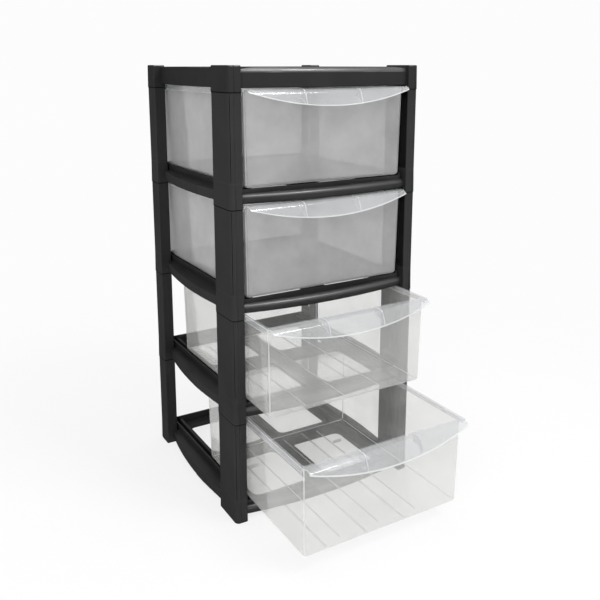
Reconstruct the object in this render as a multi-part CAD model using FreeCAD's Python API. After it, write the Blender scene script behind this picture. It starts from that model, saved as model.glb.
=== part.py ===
import FreeCAD, Part
import os
from math import cos, radians, sin, sqrt, tan
from FreeCAD import Vector

# A free-standing storage tower: four clear drawers in a black moulded frame. The frame is five
# shelves, the last of them a closed top, held apart by four uprights on each tier. Every
# upright is a channel with a plug at each end, and the plugs press into the corner blocks of
# the shelves. The drawers slide towards -Y on two runners, and a lug under each floor meets
# the lip of its shelf before the drawer can fall out.
# Millimetres, +Z up. The origin is on the floor, at the centre of the frame's footprint.

# ---- Frame ----
tower_width = 390.0            # over the outer faces of the uprights
tower_depth = 390.0            # front of the front uprights to back of the rear ones
tier_count = 4
tier_pitch = 194.0             # from one shelf to the next

# ---- Uprights ----
upright_width = 23.0
front_upright_depth = 70.0
rear_upright_depth = 42.0
upright_wall = 2.2
upright_end_plate = 2.5
outer_corner_radius = 9.0
inner_corner_radius = 2.0
groove_radius = 1.5            # round groove down the front face of each front upright
groove_offset = 9.5            # from the outer side face to the groove
channel_rib_thickness = 2.0
channel_rib_reach = 7.0
channel_rib_spacing = 20.0

# ---- Plugs of the uprights ----
plug_length = 15.0
plug_wall = 1.8
plug_clearance = 0.3

# ---- Corner blocks of the shelves ----
block_height = 44.0
block_wall = 2.5
block_proud = 0.6              # step at the foot of each block, over the upright below
socket_spare = 2.0             # depth left free beyond the end of a plug
foot_thickness = 4.0
foot_edge = 1.5
heel_radius = 15.0             # rounding behind the rear feet
cap_thickness = 4.0
cap_edge = 2.0

# ---- Shelf rails ----
rail_wall = 2.5
rail_bottom = 7.0              # above the foot of the corner block
side_rail_top = 25.0
side_rail_edge = 1.5
side_bow_front_inset = 6.5     # how far the bowed rail stands in from the upright at each end
side_bow_rear_inset = 15.0
side_bow_proud = 0.5           # and how far it stands out at its fullest
side_bow_full_at = -10.0       # y of the fullest point
front_rail_top = 26.0
front_rail_thickness = 13.0
front_rail_setback = 7.0       # behind the uprights at its ends
front_rail_bow = 10.0          # ahead of the uprights at its middle
front_rail_rounding = 9.0
front_rail_back_edge = 2.5
nub_size = (6.0, 2.5, 1.2)     # small locating nubs along the top of the front rail
nub_spacing = 50.0
rear_rail_top = 38.0
rear_rail_thickness = 2.5
rear_rail_inset = 4.0
pad_width = 40.0               # trapezoid pad on the outside of each side rail
pad_top_width = 26.0
pad_place = -30.0
pad_proud = 0.8

# ---- Shelf deck ----
deck_top = 22.0
deck_thickness = 2.5
lip_thickness = 2.5
lip_height = 10.3
lip_setback = 4.5              # behind the front of a closed drawer
runner_width = 6.0
runner_inset = 1.5             # from the flat of the drawer's floor to the runner
guide_thickness = 3.5
guide_clearance = 2.0
guide_top = 37.0
centre_bar_width = 40.0
cross_bar_width = 46.0
cross_bar_place = 5.0
opening_side_margin = 9.0      # runner to opening
opening_front_margin = 18.0    # lip to opening
opening_rear_margin = 23.0     # rear rail to opening
opening_radius = 14.0
collar_thickness = 2.0
collar_depth = 6.0

# ---- Closed top ----
top_rail_top = 41.0
top_panel_thickness = 2.5
top_front_wall = 2.5
top_front_lower_edge = 3.0
top_rib_thickness = 2.0
top_rib_depth = 8.0
top_rib_count = 4
top_rib_spacing = 76.0
top_cross_rib_place = 65.0      # cross ribs, ahead of and behind the middle

# ---- Drawers ----
drawer_wall = 1.6
side_clearance = 3.0           # rim to upright
slide_clearance = 0.3          # floor to runner
top_clearance = 1.2            # rim to the front rail above
runner_height = 11.5
front_setback = 8.0            # front face at the rim, behind the uprights
rear_gap = 1.0                 # closed drawer to rear rail
side_draft = 3.0
front_draft = 1.5
rear_draft = 3.0
drawer_floor_corner = 9.0      # upright corners of the tub, down at its floor
drawer_rim_corner = 5.0        # and up at its rim
drawer_floor_radius = 6.5      # between the floor and the walls
rim_flange = 3.5
rim_skirt_height = 9.0
rim_skirt_thickness = 1.4
floor_rib_count = 3
floor_rib_width = 2.0
floor_rib_height = 1.6
floor_rib_end_gap = 16.0
floor_band_width = 34.0
floor_band_height = 0.7
floor_band_end_gap = 44.0

# ---- Handle along the top of the drawer's front ----
handle_thickness = 1.8
handle_flat = 9.0
handle_rounding = 14.0
handle_fall_angle = 70.0       # degrees below level where the curve ends
handle_droop_middle = 31.0
handle_droop_end = 5.0
gusset_thickness = 1.6
gusset_spread = 57.0
gusset_wall_height = 17.0
gusset_tip_drop = 27.0

# ---- Travel of the drawers ----
drawer_travel = 290.0
stop_clearance = 0.5
lug_width = 20.0
lug_thickness = 4.0
lug_depth = 5.0
lug_spread = 100.0
pulled_out = [194.0, 79.0, 0.0, 0.0]    # how far each drawer stands open, lowest first

# ---- Places worked out from the sizes above ----
half_width = tower_width / 2
half_depth = tower_depth / 2
inner_face = half_width - upright_width
block_span = 2 * (inner_face + block_wall / 2)
front_block_end = -half_depth + front_upright_depth
rear_block_end = half_depth - rear_upright_depth
rim_half = inner_face - side_clearance
wall_half = rim_half - rim_flange
floor_half = wall_half - side_draft
runner_outer = floor_half - drawer_floor_radius - runner_inset
runner_inner = runner_outer - runner_width
runner_top = deck_top + runner_height
guide_inner = floor_half + guide_clearance
drawer_bottom = runner_top + slide_clearance
drawer_top = tier_pitch + rail_bottom - top_clearance
front_at_rim = -half_depth + front_setback
front_at_floor = front_at_rim + front_draft
rear_rail_front = half_depth - rear_rail_inset - rear_rail_thickness
rear_at_floor = rear_rail_front - rear_gap
rear_at_rim = rear_at_floor + rear_draft
lip_front = front_at_floor + lip_setback
lip_back = lip_front + lip_thickness
overlap = 1.0                  # how far joined features of one moulding run into each other


def rounded_wire(corners, z):
    """Closed wire at height z through (x, y, radius) corners."""
    arcs = []
    for index, (x, y, radius) in enumerate(corners):
        after = corners[(index + 1) % len(corners)]
        corner = Vector(x, y, z)
        to_before = (Vector(corners[index - 1][0], corners[index - 1][1], z) - corner).normalize()
        to_after = (Vector(after[0], after[1], z) - corner).normalize()
        half_angle = to_before.getAngle(to_after) / 2
        reach = radius / tan(half_angle)
        inward = (to_before + to_after).normalize()
        middle = corner + inward * (radius / sin(half_angle) - radius)
        arcs.append((corner + to_before * reach, middle, corner + to_after * reach))
    edges = []
    for index, (start, middle, end) in enumerate(arcs):
        edges.append(Part.Arc(start, middle, end).toShape())
        edges.append(Part.makeLine(end, arcs[(index + 1) % len(arcs)][0]))
    return Part.Wire(edges)


def rectangle(x_low, x_high, y_low, y_high, radius):
    """Corners of a rectangle with one radius, for rounded_wire."""
    places = [(x_low, y_low), (x_high, y_low), (x_high, y_high), (x_low, y_high)]
    return [(x, y, radius) for x, y in places]


def prism(wire, height):
    return Part.Face(wire).extrude(Vector(0, 0, height))


def box(x_low, x_high, y_low, y_high, z_low, z_high):
    return Part.makeBox(x_high - x_low, y_high - y_low, z_high - z_low, Vector(x_low, y_low, z_low))


def mirrored(shape):
    """The same shape on the other side of the tower."""
    return shape.mirror(Vector(0, 0, 0), Vector(1, 0, 0))


def joined(shapes):
    return shapes[0].multiFuse(shapes[1:]).removeSplitter()


def edges_where(shape, test):
    """Edges whose every vertex passes the test."""
    return [edge for edge in shape.Edges if all(test(vertex.Point) for vertex in edge.Vertexes)]


# ---- Uprights and corner blocks, drawn for the left-hand side ----
def corner_wire(front, z, inset=0.0, proud=0.0):
    """Outline of a left-hand upright: drawn in by inset all round, or proud on its outer faces."""
    x_out = -half_width - proud + inset
    x_in = -inner_face - inset
    if front:
        y_out = -half_depth - proud + inset
        y_in = front_block_end + proud - inset
    else:
        y_out = half_depth + proud - inset
        y_in = rear_block_end - proud + inset
    outer_radius = max(outer_corner_radius - inset, 1.0)
    inner_radius = max(inner_corner_radius - inset, 1.0)
    corners = [(x_out, y_out, outer_radius), (x_in, y_out, inner_radius),
               (x_in, y_in, inner_radius), (x_out, y_in, inner_radius)]
    return rounded_wire(corners, z)


def front_groove(z_low, z_high):
    """Rod that cuts the groove down the front face of a front upright or block."""
    place = Vector(-half_width + groove_offset, -half_depth - block_proud, z_low)
    return Part.makeCylinder(groove_radius, z_high - z_low, place)


def plug(front, z_low):
    """Hollow plug that presses into the socket of a corner block."""
    outer = prism(corner_wire(front, z_low, inset=block_wall + plug_clearance), plug_length)
    hollow_inset = block_wall + plug_clearance + plug_wall
    hollow = prism(corner_wire(front, z_low - overlap, inset=hollow_inset), plug_length + 2 * overlap)
    return outer.cut(hollow)


def upright(front, tier):
    """Left-hand upright: a channel open towards the drawers, closed by a plate at each end."""
    z_low = tier * tier_pitch + block_height
    z_high = (tier + 1) * tier_pitch
    body = prism(corner_wire(front, z_low), z_high - z_low)
    if front:
        y_low, y_high = -half_depth, front_block_end
    else:
        y_low, y_high = rear_block_end, half_depth
    floor, ceiling = z_low + upright_end_plate, z_high - upright_end_plate
    channel = box(-half_width + upright_wall, -inner_face + overlap,
                  y_low + upright_wall, y_high - upright_wall, floor, ceiling)
    body = body.cut(channel)
    ribs = []
    rib_count = int((y_high - y_low - 2 * upright_wall) / channel_rib_spacing)
    for index in range(rib_count):
        y = (y_low + y_high) / 2 + (index - (rib_count - 1) / 2) * channel_rib_spacing
        ribs.append(box(-half_width + upright_wall - overlap, -half_width + upright_wall + channel_rib_reach,
                        y - channel_rib_thickness / 2, y + channel_rib_thickness / 2,
                        floor - overlap, ceiling + overlap))
    body = joined([body] + ribs + [plug(front, z_low - plug_length), plug(front, z_high)])
    if front:
        body = body.cut(front_groove(z_low, z_high))
    return body


def block(front, shelf):
    """Left-hand corner block, with a socket for each upright that meets it."""
    z_low = shelf * tier_pitch
    z_high = z_low + block_height
    outline = [corner_wire(front, z_low, proud=block_proud), corner_wire(front, z_high)]
    body = Part.makeLoft(outline, True, True)
    socket_depth = plug_length + socket_spare
    if shelf == 0:
        body = foot(body, front)
        hollow_low = z_low + foot_thickness
    else:
        hollow_low = z_high - socket_depth
        lower = prism(corner_wire(front, z_low - overlap, inset=block_wall), socket_depth + overlap)
        body = body.cut(lower)
    if shelf == tier_count:
        body = cap(body, z_high)
        hollow_low = z_low
        hollow_high = z_high - cap_thickness
    else:
        hollow_high = z_high + overlap
    hollow = prism(corner_wire(front, hollow_low, inset=block_wall), hollow_high - hollow_low)
    body = body.cut(hollow)
    if front:
        body = body.cut(front_groove(z_low - overlap, z_high + overlap))
    return body


def foot(body, front):
    """Round the underside of a bottom block, and the heel of a rear one."""
    if not front:
        heel = box(-half_width - overlap - block_proud, -inner_face + overlap,
                   half_depth - heel_radius, half_depth + block_proud + overlap, -overlap, heel_radius)
        centre = Vector(-half_width - 2 * overlap, half_depth + block_proud - heel_radius, heel_radius)
        roller = Part.makeCylinder(heel_radius, upright_width + 4 * overlap, centre, Vector(1, 0, 0))
        return body.cut(heel.cut(roller))
    ground = edges_where(body, lambda point: abs(point.z) < 0.01)
    return body.makeFillet(foot_edge, ground)


def cap(body, z_high):
    crown = edges_where(body, lambda point: abs(point.z - z_high) < 0.01)
    return body.makeFillet(cap_edge, crown)


# ---- Rails ----
def side_strip(grow, inner, z_low, z_high, shorten=0.0):
    """Left-hand strip between the bow of the side rail, moved out by grow, and x = -inner."""
    y_front = front_block_end - block_wall / 2 + shorten
    y_rear = rear_block_end + block_wall / 2 - shorten
    start = Vector(-half_width + side_bow_front_inset - grow, y_front, z_low)
    fullest = Vector(-half_width - side_bow_proud - grow, side_bow_full_at, z_low)
    end = Vector(-half_width + side_bow_rear_inset - grow, y_rear, z_low)
    inner_rear = Vector(-inner, y_rear, z_low)
    inner_front = Vector(-inner, y_front, z_low)
    edges = [Part.Arc(start, fullest, end).toShape(), Part.makeLine(end, inner_rear),
             Part.makeLine(inner_rear, inner_front), Part.makeLine(inner_front, start)]
    return prism(Part.Wire(edges), z_high - z_low)


def side_rail(z_low, z_high):
    """Left-hand side rail: a bowed wall with a top, open underneath."""
    solid = side_strip(0, guide_inner, z_low, z_high)
    bowed = [edge for edge in solid.Edges if isinstance(edge.Curve, Part.Circle)]
    solid = solid.makeFillet(side_rail_edge, bowed)
    hollow = side_strip(-rail_wall, guide_inner + guide_thickness, z_low - overlap,
                        z_high - rail_wall, shorten=rail_wall)
    return solid.cut(hollow)


def side_pad(seam):
    """Left-hand trapezoid pad, moulded on the outside of the side rail."""
    shell = side_strip(pad_proud, half_width - side_bow_rear_inset, seam + rail_bottom,
                       seam + side_rail_top)
    z_low, z_high = seam + rail_bottom + side_rail_edge, seam + side_rail_top - side_rail_edge
    places = [(pad_place - pad_width / 2, z_low), (pad_place + pad_width / 2, z_low),
              (pad_place + pad_top_width / 2, z_high), (pad_place - pad_top_width / 2, z_high)]
    reach = half_width + 2 * overlap
    outline = Part.makePolygon([Vector(-reach, y, z) for y, z in places + places[:1]])
    trapezoid = Part.Face(outline).extrude(Vector(reach - inner_face, 0, 0))
    return shell.common(trapezoid)


def front_arc(back, z, x_end):
    """Bowed line of the front rail, moved back by the given distance."""
    y_end = -half_depth + front_rail_setback + back
    y_middle = -half_depth - front_rail_bow + back
    return Part.Arc(Vector(-x_end, y_end, z), Vector(0, y_middle, z), Vector(x_end, y_end, z)).toShape()


def front_strip(back_near, back_far, z_low, z_high, x_end):
    """Bowed strip across the front between two distances behind the front line."""
    near = front_arc(back_near, z_low, x_end)
    far = front_arc(back_far, z_low, x_end)
    ends = [Part.makeLine(near.Vertexes[side].Point, far.Vertexes[side].Point) for side in (0, 1)]
    return prism(Part.Wire(Part.__sortEdges__([near, ends[1], far, ends[0]])), z_high - z_low)


def front_rail(z_low, z_high, lower_rounding):
    """Bullnosed rail across the front."""
    rail = front_strip(0, front_rail_thickness, z_low, z_high, block_span / 2)
    bows = [edge for edge in rail.Edges if isinstance(edge.Curve, Part.Circle)]
    front_y = -half_depth + front_rail_setback
    front_bows = [edge for edge in bows if abs(edge.Vertexes[0].Y - front_y) < 0.01]
    back_bows = [edge for edge in bows if abs(edge.Vertexes[0].Y - front_y) > 0.01]
    upper = [edge for edge in front_bows if abs(edge.Vertexes[0].Z - z_high) < 0.01]
    lower = [edge for edge in front_bows if abs(edge.Vertexes[0].Z - z_low) < 0.01]
    rail = rail.makeFillet(front_rail_rounding, upper)
    lower = nearest_edges(rail, lower)
    rail = rail.makeFillet(lower_rounding, lower)
    return rail.makeFillet(front_rail_back_edge, nearest_edges(rail, back_bows))


def nearest_edges(shape, wanted):
    """The edges of shape that lie where the wanted edges were before the shape was rounded."""
    centres = [edge.valueAt((edge.FirstParameter + edge.LastParameter) / 2) for edge in wanted]
    found = []
    for centre in centres:
        point = Part.Vertex(centre)
        found.append(min(shape.Edges, key=lambda edge: edge.distToShape(point)[0]))
    return found


def rear_rail(z_low, z_high):
    return box(-block_span / 2, block_span / 2, rear_rail_front,
               rear_rail_front + rear_rail_thickness, z_low, z_high)


# ---- Shelves ----
def shelf_openings():
    """Plan of the four openings of a deck, as (x low, x high, y low, y high)."""
    x_out = runner_inner - opening_side_margin
    x_in = centre_bar_width / 2
    y_front = lip_back + opening_front_margin
    y_rear = rear_rail_front - opening_rear_margin
    bar_front = cross_bar_place - cross_bar_width / 2
    bar_rear = cross_bar_place + cross_bar_width / 2
    spans = []
    for y_low, y_high in ((y_front, bar_front), (bar_rear, y_rear)):
        spans.append((-x_out, -x_in, y_low, y_high))
        spans.append((x_in, x_out, y_low, y_high))
    return spans


def opening_prism(span, grow, z_low, z_high):
    x_low, x_high, y_low, y_high = span
    corners = rectangle(x_low - grow, x_high + grow, y_low - grow, y_high + grow, opening_radius + grow)
    return prism(rounded_wire(corners, z_low), z_high - z_low)


def deck(seam):
    """Flat panel of a shelf with four stiffened openings, its lip, runners and guides."""
    z_low, z_high = seam + deck_top - deck_thickness, seam + deck_top
    back = front_arc(front_rail_thickness / 2, z_low, block_span / 2)
    corner_right = Vector(block_span / 2, rear_rail_front + overlap, z_low)
    corner_left = Vector(-block_span / 2, rear_rail_front + overlap, z_low)
    start, end = back.Vertexes[0].Point, back.Vertexes[1].Point
    outline = [back, Part.makeLine(end, corner_right), Part.makeLine(corner_right, corner_left),
               Part.makeLine(corner_left, start)]
    features = [prism(Part.Wire(outline), deck_thickness)]
    for span in shelf_openings():
        features.append(opening_prism(span, collar_thickness, z_low - collar_depth, z_low))
    features.append(box(-guide_inner - overlap, guide_inner + overlap, lip_front, lip_back,
                        z_high - overlap, z_high + lip_height))
    for side in (-1, 1):
        runner = sorted([side * runner_inner, side * runner_outer])
        features.append(box(runner[0], runner[1], lip_back - overlap, rear_rail_front + overlap,
                            z_high - overlap, seam + runner_top))
        guide = sorted([side * guide_inner, side * (guide_inner + guide_thickness)])
        features.append(box(guide[0], guide[1], lip_front, rear_rail_front + overlap,
                            z_low, seam + guide_top))
    panel = joined(features)
    for span in shelf_openings():
        panel = panel.cut(opening_prism(span, 0.0, z_low - collar_depth - overlap, z_high + overlap))
    return panel


def nubs(seam):
    """Small nubs in a row behind the crown of the front rail."""
    width, length, height = nub_size
    circle = front_arc(front_rail_thickness - length, 0, block_span / 2).Curve
    shapes = []
    for place in (-2, -1, 1, 2):
        x = place * nub_spacing
        y = circle.Center.y - sqrt(circle.Radius ** 2 - x ** 2)
        shapes.append(box(x - width / 2, x + width / 2, y - length / 2, y + length / 2,
                          seam + front_rail_top - overlap, seam + front_rail_top + height))
    return shapes


def corner_blocks(shelf):
    lefts = [block(True, shelf), block(False, shelf)]
    return lefts + [mirrored(each) for each in lefts]


def shelf_frame(shelf):
    """One open shelf: four corner blocks, four rails and the deck, in one moulding."""
    seam = shelf * tier_pitch
    rail = side_rail(seam + rail_bottom, seam + side_rail_top)
    sides = [rail, side_pad(seam)]
    features = corner_blocks(shelf) + sides + [mirrored(each) for each in sides]
    features.append(front_rail(seam + rail_bottom, seam + front_rail_top, front_rail_rounding))
    features.append(rear_rail(seam + rail_bottom + overlap, seam + rear_rail_top))
    features.append(deck(seam))
    return joined(features + nubs(seam))


def top_frame():
    """The closed top: capped corner blocks, deep rails and a ribbed panel, in one moulding."""
    seam = tier_count * tier_pitch
    z_low, z_high = seam + rail_bottom, seam + top_rail_top
    rail = side_rail(z_low, z_high)
    front = front_rail(z_low, z_high, top_front_lower_edge)
    hollow = front_strip(top_front_wall, front_rail_thickness - top_front_wall, z_low - overlap,
                         z_high - 2 * top_front_wall, block_span / 2 - top_front_wall)
    panel_low = z_high - top_panel_thickness
    panel = box(-inner_face - overlap, inner_face + overlap, -half_depth + front_rail_setback + overlap,
                rear_rail_front + overlap, panel_low, z_high)
    bow_fill = front_strip(front_rail_thickness / 2, front_rail_thickness + front_rail_bow
                           + front_rail_setback, panel_low, z_high, block_span / 2)
    features = corner_blocks(tier_count) + [rail, mirrored(rail), front.cut(hollow), panel, bow_fill]
    features.append(rear_rail(z_low + overlap, z_high))
    for index in range(top_rib_count):
        x = (index - (top_rib_count - 1) / 2) * top_rib_spacing
        features.append(box(x - top_rib_thickness / 2, x + top_rib_thickness / 2,
                            -half_depth + front_rail_thickness, rear_rail_front + overlap,
                            panel_low - top_rib_depth, panel_low + overlap))
    for y in (-top_cross_rib_place, top_cross_rib_place):
        features.append(box(-guide_inner - overlap, guide_inner + overlap, y - top_rib_thickness / 2,
                            y + top_rib_thickness / 2, panel_low - top_rib_depth, panel_low + overlap))
    return joined(features)


# ---- Drawers, drawn closed on the lowest tier ----
def tub(inset, z_low, z_high):
    """Tapered tub of the drawer, drawn in by inset, between its floor and its rim."""
    foot_plan = rectangle(-floor_half + inset, floor_half - inset, front_at_floor + inset,
                          rear_at_floor - inset, drawer_floor_corner - inset)
    rim_plan = rectangle(-wall_half + inset, wall_half - inset, front_at_rim + inset,
                         rear_at_rim - inset, drawer_rim_corner - inset)
    solid = Part.makeLoft([rounded_wire(foot_plan, z_low), rounded_wire(rim_plan, z_high)], True, True)
    base = edges_where(solid, lambda point: abs(point.z - z_low) < 0.01)
    return solid.makeFillet(drawer_floor_radius - inset, base)


def rim():
    """Flange round the sides and back of the rim, with a skirt turned down at its edge."""
    def outline(inset, z):
        return rounded_wire(rectangle(-rim_half + inset, rim_half - inset, front_at_rim + inset / 2,
                                      rear_at_rim + rim_flange - inset, drawer_rim_corner - inset), z)
    skirt_bottom = drawer_top - rim_skirt_height
    outer = prism(outline(0.0, skirt_bottom), rim_skirt_height)
    hollow = prism(outline(rim_skirt_thickness, skirt_bottom - overlap),
                   rim_skirt_height - drawer_wall + overlap)
    return outer.cut(hollow)


def handle_path(u):
    """Point on the handle's outer face from its own distance ahead and below the rim."""
    return Vector(0, front_at_rim - u.x, drawer_top + u.y)


def handle_section(thickness, closed_to_wall):
    """Section of the handle on the YZ plane: flat, then a curve, then a straight fall."""
    angle = radians(handle_fall_angle)
    bend_centre = Vector(handle_flat, -handle_rounding, 0)

    def bend(radius, turn):
        return bend_centre + Vector(radius * sin(turn), radius * cos(turn), 0)

    outer, inner = handle_rounding, handle_rounding - thickness
    fall = handle_droop_middle + bend(outer, angle).y
    along = Vector(cos(angle), -sin(angle), 0) * (fall / sin(angle))
    root = Vector(-drawer_wall, 0, 0)
    path = [Part.makeLine(handle_path(root), handle_path(bend(outer, 0))),
            Part.Arc(*[handle_path(bend(outer, turn)) for turn in (0, angle / 2, angle)]).toShape(),
            Part.makeLine(handle_path(bend(outer, angle)), handle_path(bend(outer, angle) + along))]
    tip = bend(outer, angle) + along
    if closed_to_wall:
        foot_point = Vector(root.x, tip.y, 0)
        path += [Part.makeLine(handle_path(tip), handle_path(foot_point)),
                 Part.makeLine(handle_path(foot_point), handle_path(root))]
        return Part.Wire(path)
    inner_root = Vector(root.x, -thickness, 0)
    inner_tip = bend(inner, angle) + along
    path += [Part.makeLine(handle_path(tip), handle_path(inner_tip)),
             Part.makeLine(handle_path(inner_tip), handle_path(bend(inner, angle))),
             Part.Arc(*[handle_path(bend(inner, turn)) for turn in (angle, angle / 2, 0)]).toShape(),
             Part.makeLine(handle_path(bend(inner, 0)), handle_path(inner_root)),
             Part.makeLine(handle_path(inner_root), handle_path(root))]
    return Part.Wire(path)


def handle_mask():
    """Front view of the handle: level above, an arc below that droops at the middle."""
    reach = front_at_rim - tower_depth / 2
    top = drawer_top + overlap
    end_z = drawer_top - handle_droop_end
    left, right = Vector(-rim_half, reach, end_z), Vector(rim_half, reach, end_z)
    middle = Vector(0, reach, drawer_top - handle_droop_middle + overlap / 2)
    upper_left, upper_right = Vector(-rim_half, reach, top), Vector(rim_half, reach, top)
    edges = [Part.Arc(left, middle, right).toShape(), Part.makeLine(right, upper_right),
             Part.makeLine(upper_right, upper_left), Part.makeLine(upper_left, left)]
    return Part.Face(Part.Wire(edges)).extrude(Vector(0, tower_depth, 0))


def handle():
    """Drooping lip along the top of the front, with two gussets under it."""
    run = Vector(2 * rim_half, 0, 0)
    lip_face = Part.Face(handle_section(handle_thickness, False)).translated(Vector(-rim_half, 0, 0))
    shapes = [lip_face.extrude(run).common(handle_mask())]
    under = Part.Face(handle_section(handle_thickness, True))
    tip_u = handle_flat + handle_rounding + handle_droop_middle
    corners = [Vector(-drawer_wall / 2, 0, 0), Vector(-drawer_wall / 2, -gusset_wall_height, 0),
               Vector(tip_u / 2, -gusset_tip_drop, 0), Vector(tip_u, -gusset_tip_drop, 0), Vector(tip_u, 0, 0)]
    plate = Part.Face(Part.makePolygon([handle_path(each) for each in corners + corners[:1]]))
    thickness = Vector(gusset_thickness, 0, 0)
    for x in (-gusset_spread, gusset_spread):
        place = Vector(x - gusset_thickness / 2, 0, 0)
        wedge = under.translated(place).extrude(thickness)
        shapes.append(plate.translated(place).extrude(thickness).common(wedge))
    return shapes


def floor_strip(x, width, end_gap, height):
    """Raised strip along the floor inside the drawer, with round ends."""
    z = drawer_bottom + drawer_wall - overlap
    corners = rectangle(x - width / 2, x + width / 2, front_at_floor + drawer_wall + end_gap,
                        rear_at_floor - drawer_wall - end_gap, width / 2 - 0.01)
    return prism(rounded_wire(corners, z), height + overlap)


def drawer():
    """One clear drawer, in one moulding."""
    features = [tub(0.0, drawer_bottom, drawer_top), rim()] + handle()
    for side in (-1, 1):
        x = side * lug_spread
        front = lip_back + drawer_travel + stop_clearance
        features.append(box(x - lug_width / 2, x + lug_width / 2, front, front + lug_thickness,
                            drawer_bottom - lug_depth, drawer_bottom + overlap))
    body = joined(features).cut(tub(drawer_wall, drawer_bottom + drawer_wall, drawer_top + overlap))
    strips = []
    for index in range(floor_rib_count):
        x = (index - (floor_rib_count - 1) / 2) * 2 * floor_half / (floor_rib_count + 1)
        strips.append(floor_strip(x, floor_rib_width, floor_rib_end_gap, floor_rib_height))
        strips.append(floor_strip(x - floor_band_width / 2, floor_band_width, floor_band_end_gap,
                                  floor_band_height))
    return joined([body] + strips)


def export(name, shape):
    """Write one node, and say what it holds."""
    shape.exportStep("parts/" + name + ".step")
    size = shape.BoundBox
    print("%-26s solids %d valid %s volume %.0f  x %.1f %.1f  y %.1f %.1f  z %.1f %.1f" % (
        name, len(shape.Solids), shape.isValid(), shape.Volume, size.XMin, size.XMax,
        size.YMin, size.YMax, size.ZMin, size.ZMax))


def main():
    os.makedirs("parts", exist_ok=True)
    names = ["bottom_shelf"] + ["shelf_%d" % number for number in range(2, tier_count + 1)]
    for shelf, name in enumerate(names):
        export(name, shelf_frame(shelf))
    export("top_frame", top_frame())
    for tier in range(tier_count):
        for front, place in ((True, "front"), (False, "rear")):
            left = upright(front, tier)
            export("upright_%d_%s_left" % (tier + 1, place), left)
            export("upright_%d_%s_right" % (tier + 1, place), mirrored(left))
    closed = drawer()
    for tier in range(tier_count):
        place = Vector(0, -pulled_out[tier], tier * tier_pitch)
        export("drawer_%d" % (tier + 1), closed.translated(place))


main()
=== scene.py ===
"""Looks of a free-standing storage tower: four clear drawers in a black moulded frame.

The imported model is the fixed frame. Its shelves, uprights and top keep their own meshes and get
the finish of satin black polypropylene. The drawers are modelled here, as one thin moulding each.
All sizes are in metres, +Z up, with the drawers opening towards -Y.
"""

import logging
import math
from collections.abc import Callable
from dataclasses import dataclass, replace
from enum import Enum, IntEnum

import bmesh
import bpy
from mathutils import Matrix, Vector


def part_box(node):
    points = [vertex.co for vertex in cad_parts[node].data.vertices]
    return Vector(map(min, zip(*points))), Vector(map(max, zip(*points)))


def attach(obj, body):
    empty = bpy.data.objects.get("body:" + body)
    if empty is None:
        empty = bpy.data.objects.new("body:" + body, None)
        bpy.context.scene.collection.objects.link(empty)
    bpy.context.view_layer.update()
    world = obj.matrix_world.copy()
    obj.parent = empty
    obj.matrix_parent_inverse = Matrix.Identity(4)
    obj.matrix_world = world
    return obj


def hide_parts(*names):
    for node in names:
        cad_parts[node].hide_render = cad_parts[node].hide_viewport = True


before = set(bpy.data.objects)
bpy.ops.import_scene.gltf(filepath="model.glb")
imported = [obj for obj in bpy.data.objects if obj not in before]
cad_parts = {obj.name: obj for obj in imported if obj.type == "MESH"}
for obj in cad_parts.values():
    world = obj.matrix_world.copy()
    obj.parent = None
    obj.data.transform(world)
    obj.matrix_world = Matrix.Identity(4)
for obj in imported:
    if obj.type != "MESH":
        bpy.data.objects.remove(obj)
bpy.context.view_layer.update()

log = logging.getLogger("tower")

Point = tuple[float, float, float]
Colour = tuple[float, float, float]
Test = Callable[[Vector], bool]
FaceTest = Callable[[Vector, Vector], bool]
FaceVote = Callable[[Vector, Vector], bool | None]
EdgeTest = Callable[[bmesh.types.BMEdge], bool]
# Slack for telling places apart, and the distance under which vertices are merged.
TINY = 0.00005
WELD = TINY / 5


class Part(Enum):
    """What an edit-mode selection is made of."""

    VERT = "VERT"
    EDGE = "EDGE"
    FACE = "FACE"


class Slot(IntEnum):
    """Which of a drawer's materials a face takes."""

    WALL = 0
    BEND = 1
    RIM = 2
    STRIP = 3
    CUT = 4


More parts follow.
